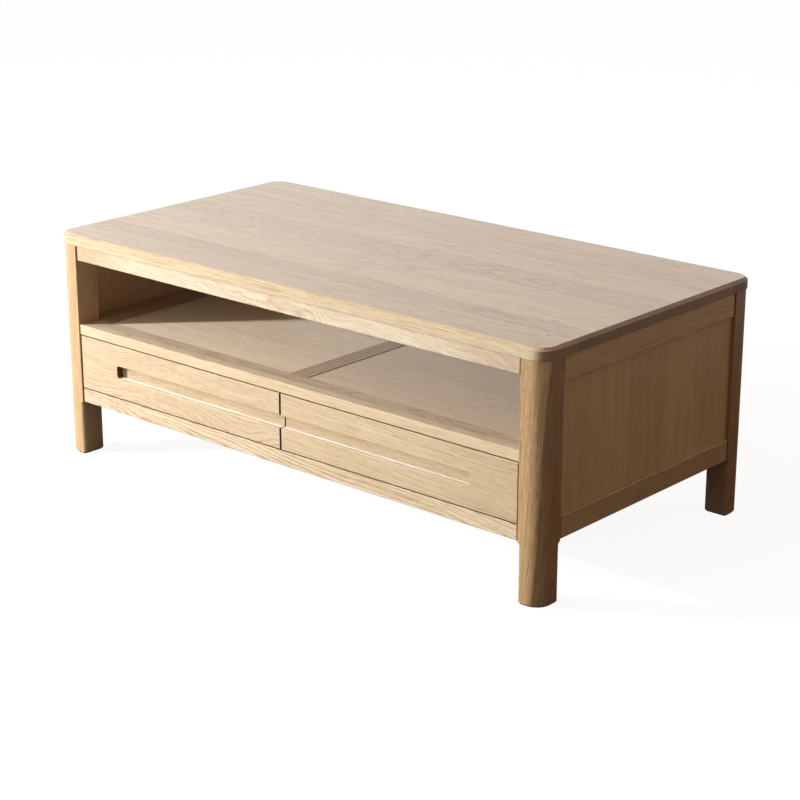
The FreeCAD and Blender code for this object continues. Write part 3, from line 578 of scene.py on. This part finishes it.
# Rails
# Painted shade at the front top rail's right end, where the light falls off away from the key lamp; its left
# end turns darker and more orange
RAIL_DARKER_ENDS = ((tint(0.90, 0.75, 0.66), -0.38, -0.52), (tint(0.85, 0.77, 0.74), 0.38, 0.52))
board("front_top_rail", "x", "y", CREAM, seed=21.0, pith=(4, 45), slope=-0.20, sway=11, sway_length=110,
      ring=5.0, figure=0.6, tails=RAIL_DARKER_ENDS)
board("rear_top_rail", "x", "y", PALE, seed=22.0, pith=(-6, 60), lean=0.05)
board("front_bottom_rail", "x", "y", STRAW, seed=23.0, pith=(-30, 50), slope=-0.02, sway=6, ring=3.3,
      figure=1.5, gap_shade=True)
board("rear_bottom_rail", "x", "y", PALE, seed=24.0, pith=(5, 55))
for number, side in enumerate(("right", "left")):
    board(side + "_top_rail", "y", "x", COPPER, seed=25.0 + number, pith=(-30, 60), slope=0.03, sway=4,
          pores=0.6, gap_shade=True)
    board(side + "_bottom_rail", "y", "x", RUSSET, seed=27.0 + number, pith=(40, 60), slope=0.03,
          sway=4, pores=0.6)

# Panels
SIDE_FIGURE = 0.2
SIDE_STAVES = tuple(
    Stave(start, shade, figure=SIDE_FIGURE)
    for start, shade in ((-0.27, 0.97), (-0.17, 1.0), (-0.06, 0.95), (0.05, 1.03), (0.14, 0.97), (0.21, 1.0))
)
for number, side in enumerate(("right", "left")):
    board(side + "_side_panel", "z", "x", WARM, seed=31.0 + number, staves=SIDE_STAVES, pores=0.12)
board("back_panel", "x", "y", HONEY, seed=33.0, pith=(20, 80))

# Shelf
SHELF_STAVES = (Stave(-0.305, 1.0, 60, 0.02, 0.5), Stave(-0.284, 0.84, 60, 0.02, 1.0))
board("shelf_front_rail", "x", "z", PALE, seed=41.0, pith=(5, -45), sway=9, staves=SHELF_STAVES,
      bloom=RAIL_BLOOM)
board("shelf_rear_rail", "x", "z", HONEY, seed=42.0, pith=(5, -60), bloom=SHELF_BLOOM)
for number, side in enumerate(("left", "right")):
    board("shelf_" + side + "_rail", "y", "z", TAWNY, seed=43.0 + number, pith=(-10, -70), bloom=RAIL_BLOOM)
# Left shelf panel lighter and right one darker: painted light falling off away from the key lamp
board("shelf_left_panel", "x", "z", PAINTED_LIT_SHELF, seed=45.0, pith=(40, -80), sway=8, bloom=SHELF_BLOOM)
board("shelf_right_panel", "x", "z", PAINTED_SHADED_SHELF, seed=46.0, pith=(40, -80), sway=8, bloom=SHELF_BLOOM)
board("shelf_centre_muntin", "y", "z", TAWNY, seed=47.0, pith=(30, -60), bloom=RAIL_BLOOM)

# Inner frame
for number, name in enumerate(("top_cross_rail", "bottom_centre_rail", "drawer_partition")):
    board(name, "y", "x", HONEY, seed=51.0 + number, pith=(10, 60))
for number, name in enumerate(("left_slide_batten", "right_slide_batten")):
    board(name, "y", "x", HONEY, seed=55.0 + number, pith=(10, 60))
board("tabletop_buttons", "x", "z", HONEY, seed=57.0)

# Drawers
# Painted shade at the right drawer front's right end, where the light falls off away from the key lamp
DRAWER_PAINTED_FALLOFF = ((tint(0.93, 0.91, 0.88), 0.30, 0.52),)
DRAWER_WOOD = {"figure": 0.35, "pores": 0.2}
board("left_drawer_front", "x", "y", WHEAT, seed=61.0, pith=(-70, 50), sway=14, sway_length=300, ring=3.6,
      figure=0.8, slot=SLOT_LIP, gap_shade=True)
board("right_drawer_front", "x", "y", WHEAT, seed=62.0, pith=(90, 50), slope=-0.05, sway=10,
      sway_length=420, ring=3.6, figure=0.8, slot=SLOT_LIP, gap_shade=True, tails=DRAWER_PAINTED_FALLOFF)
for number, side in enumerate(("left", "right")):
    drawer = side + "_drawer_"
    for place, name in enumerate(("left_side", "right_side")):
        board(drawer + name, "y", "x", DRAWER, seed=63.0 + 2 * number + place, pith=(20, 90), **DRAWER_WOOD)
    board(drawer + "back", "x", "y", DRAWER, seed=67.0 + number, pith=(20, 90), **DRAWER_WOOD)
    board(drawer + "bottom", "x", "z", DRAWER, seed=69.0 + number, pith=(60, -130), **DRAWER_WOOD)

# Zinc plating: duller than bare steel, with darker patches and faint marks of its rolling or turning
DULL_METAL = 0.7
DARK_ZINC = 0.72
ROLL_DETAIL = 3.0
ROLL_SHARE = 0.4
ROLL_ROUGHNESS = 0.12
ROLL_STRENGTH = 0.2
ROLL_DEPTH = 0.0002
PATCH_GRAIN = (90.0, 90.0, 90.0)
PATCH_DETAIL = 4.0
PATCH_SHARE = 0.6


def steel(name, colour, rough, grain):
    """Zinc-plated steel, rolled along the Y axis or turned."""
    material, g, shader = new_material(name)
    shader.inputs["Metallic"].default_value = DULL_METAL
    spot = g.node("TexCoord").outputs["Object"]
    roll = g.noise(g.vector("MULTIPLY", spot, grain), ROLL_DETAIL)
    patch = g.noise(g.vector("MULTIPLY", spot, PATCH_GRAIN), PATCH_DETAIL)
    darker = tint(*(DARK_ZINC * channel for channel in colour[:3]))
    clean = g.line(patch, PATCH_SHARE, g.product(roll, ROLL_SHARE))
    g.feed(shader.inputs["Base Color"], g.blend(clean, darker, colour))
    g.feed(shader.inputs["Roughness"], g.add(rough, g.about(roll, ROLL_ROUGHNESS)))
    relief = {"Height": roll, "Strength": ROLL_STRENGTH, "Distance": ROLL_DEPTH}
    g.feed(shader.inputs["Normal"], g.node("Bump", relief).outputs[0])
    return material


slide_steel = steel("slide_steel", tint(0.72, 0.73, 0.75), rough=0.34, grain=(900.0, 14.0, 900.0))
screw_steel = steel("screw_steel", tint(0.66, 0.65, 0.60), rough=0.30, grain=(700.0, 700.0, 700.0))
for name, piece in nodes.items():
    if "_slide_" in name and name.endswith("_member"):
        piece.material_slots[0].material = slide_steel
    if name.endswith("_screws"):
        piece.material_slots[0].material = screw_steel


def seen(g):
    """Two numbers: 1 for what the camera sees, and 1 for what a gloss or a glass shows."""
    path = g.node("LightPath").outputs
    return path["Is Camera Ray"], g.math("MAXIMUM", path["Is Glossy Ray"], path["Is Transmission Ray"])


# White studio, lit softly from above and behind on the right, and low from the key lamp's side
SOFT_RIGHT = (0.57, 0.30, 0.76)
RIGHT_RISE = (-0.1, 1.0)
RIGHT_LIGHT = tint(0.44, 0.298, 0.197)
SOFT_LEFT = (-0.62, -0.77, 0.17)
LEFT_RISE = (0.5, 0.95)
LEFT_LIGHT = grey(2.0)
DIM_LIGHT = tint(0.08, 0.06, 0.043)
WHITE = grey(1.0)
world = bpy.data.worlds.new("studio")
world.use_nodes = True
scene.world = world
world.node_tree.nodes.clear()
g = Graph(world.node_tree)
direction = g.node("TexCoord").outputs["Generated"]
room = g.blend(g.rise(g.dot(direction, SOFT_RIGHT), *RIGHT_RISE), DIM_LIGHT, RIGHT_LIGHT)
room = g.blend(g.rise(g.dot(direction, SOFT_LEFT), *LEFT_RISE), room, LEFT_LIGHT)
ambient = g.node("Background", {"Color": room, "Strength": 1.0}).outputs[0]
white = g.node("Background", {"Color": WHITE, "Strength": 1.0}).outputs[0]
sky = g.node("MixShader", {0: g.math("MAXIMUM", *seen(g)), 1: ambient, 2: white}).outputs[0]
g.feed(g.node("OutputWorld").inputs["Surface"], sky)

# Floor: white to the camera apart from the table's shadow, and plain grey in what it lights or mirrors nearby
FLOOR_HALF = 9.0
FLOOR_GREY = grey(0.19)
FLOOR_GLOW = 0.92
FLOOR_SHADOW = grey(0.15)
FLOOR_FAR = (1.6, 3.2)
FLOOR_CORNERS = ((-1, -1), (1, -1), (1, 1), (-1, 1))
floor_mesh = bpy.data.meshes.new("floor")
corners = [(FLOOR_HALF * x, FLOOR_HALF * y, 0.0) for x, y in FLOOR_CORNERS]
floor_mesh.from_pydata(corners, [], [range(len(corners))])
floor = bpy.data.objects.new("floor", floor_mesh)
scene.collection.objects.link(floor)
floor_material = bpy.data.materials.new("floor")
floor_material.use_nodes = True
floor_material.node_tree.nodes.clear()
g = Graph(floor_material.node_tree)
bounce = g.node("BsdfDiffuse", {"Color": FLOOR_GREY}).outputs[0]
glow = g.node("Emission", {"Color": WHITE, "Strength": FLOOR_GLOW}).outputs[0]
shadow = g.node("BsdfDiffuse", {"Color": FLOOR_SHADOW}).outputs[0]
shown = g.node("AddShader", {0: glow, 1: shadow}).outputs[0]
far = g.rise(g.length(g.node("TexCoord").outputs["Object"]), *FLOOR_FAR)
by_camera, mirrored = seen(g)
is_white = g.math("MAXIMUM", by_camera, g.product(mirrored, far))
surface = g.node("MixShader", {0: is_white, 1: bounce, 2: shown}).outputs[0]
g.feed(g.node("OutputMaterial").inputs["Surface"], surface)
floor_mesh.materials.append(floor_material)

# Key lamp low at the front left, as the shadow on the shelf shows. Gloss mirrors the white room and not it,
# which would glare on the top from behind.
KEY_PLACE = (-2.515, -2.325, 1.171)
KEY_TARGET = (0.0, -0.10, 0.30)
KEY_SIZE = 0.19
KEY_POWER = 170.0
key_data = bpy.data.lights.new("key", "AREA")
key_data.shape = "DISK"
key_data.size = KEY_SIZE
key_data.energy = KEY_POWER
key = bpy.data.objects.new("key", key_data)
key.location = KEY_PLACE
key.visible_glossy = False
aim = [target - place for target, place in zip(KEY_TARGET, KEY_PLACE)]
key.rotation_euler = (math.atan2(math.hypot(aim[0], aim[1]), -aim[2]), 0.0, math.atan2(-aim[0], aim[1]))
scene.collection.objects.link(key)

# Camera at the photograph's viewing angle, in degrees that it looks down and has gone round from the front
CAMERA_PLACE = (2.49838, -2.81282, 1.42476)
CAMERA_DOWN = 18.61
CAMERA_ROUND = 41.35
SENSOR_MM = 36.0
LENS_MM = 93.147
SHIFT_X = -0.0010
SHIFT_Y = 0.0012
camera_data = bpy.data.cameras.new("camera")
camera_data.sensor_width = SENSOR_MM
camera_data.lens = LENS_MM
camera_data.shift_x = SHIFT_X
camera_data.shift_y = SHIFT_Y
camera = bpy.data.objects.new("camera", camera_data)
camera.location = CAMERA_PLACE
camera.rotation_euler = (math.radians(90.0 - CAMERA_DOWN), 0.0, math.radians(CAMERA_ROUND))
scene.collection.objects.link(camera)
scene.camera = camera
